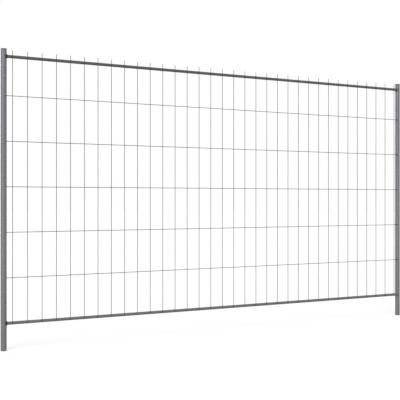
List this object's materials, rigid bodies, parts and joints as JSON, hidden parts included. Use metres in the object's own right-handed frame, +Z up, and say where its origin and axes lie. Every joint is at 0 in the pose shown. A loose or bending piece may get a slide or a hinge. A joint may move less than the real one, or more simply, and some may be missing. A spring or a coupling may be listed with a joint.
{
  "type": "temporary fence panel",
  "caption": "Welded wire mesh on round rails between tubular posts, stood in foot blocks and clamped to its neighbours to fence off a building site.",
  "frame": {"origin": "on the ground, midway between the posts, in the plane of the posts' axes", "axes": "+X along the panel to the right as seen from the mesh side, +Y away from the mesh side, +Z up"},
  "size_m": [3.45, 0.04, 1.99],
  "materials": {
    "post_tube": "galvanised steel tube, dull mid grey with a faint spangle",
    "post_cap": "galvanised steel disc, dull mid grey",
    "rail_tube": "galvanised steel tube, dull mid grey, a little darker than the posts",
    "mesh_wire": "drawn galvanised steel wire, satin grey",
    "weld_bead": "rippled weld metal, dark grey"
  },
  "bodies": {
    "root": {"post_left": "post_tube", "post_right": "post_tube", "post_cap_left": "post_cap", "post_cap_right": "post_cap", "top_rail": "rail_tube", "bottom_rail": "rail_tube", "top_left_weld": "weld_bead", "top_right_weld": "weld_bead", "bottom_left_weld": "weld_bead", "bottom_right_weld": "weld_bead", "left_wire_welds": "weld_bead", "right_wire_welds": "weld_bead", "upright_wire_01": "mesh_wire", "upright_wire_02": "mesh_wire", "upright_wire_03": "mesh_wire", "upright_wire_04": "mesh_wire", "upright_wire_05": "mesh_wire", "upright_wire_06": "mesh_wire", "upright_wire_07": "mesh_wire", "upright_wire_08": "mesh_wire", "upright_wire_09": "mesh_wire", "upright_wire_10": "mesh_wire", "upright_wire_11": "mesh_wire", "upright_wire_12": "mesh_wire", "upright_wire_13": "mesh_wire", "upright_wire_14": "mesh_wire", "upright_wire_15": "mesh_wire", "upright_wire_16": "mesh_wire", "upright_wire_17": "mesh_wire", "upright_wire_18": "mesh_wire", "upright_wire_19": "mesh_wire", "upright_wire_20": "mesh_wire", "upright_wire_21": "mesh_wire", "upright_wire_22": "mesh_wire", "upright_wire_23": "mesh_wire", "upright_wire_24": "mesh_wire", "upright_wire_25": "mesh_wire", "upright_wire_26": "mesh_wire", "upright_wire_27": "mesh_wire", "upright_wire_28": "mesh_wire", "upright_wire_29": "mesh_wire", "upright_wire_30": "mesh_wire", "upright_wire_31": "mesh_wire", "upright_wire_32": "mesh_wire", "upright_wire_33": "mesh_wire", "upright_wire_34": "mesh_wire", "cross_wire_1": "mesh_wire", "cross_wire_2": "mesh_wire", "cross_wire_3": "mesh_wire", "cross_wire_4": "mesh_wire", "cross_wire_5": "mesh_wire"}
  },
  "joints": []
}
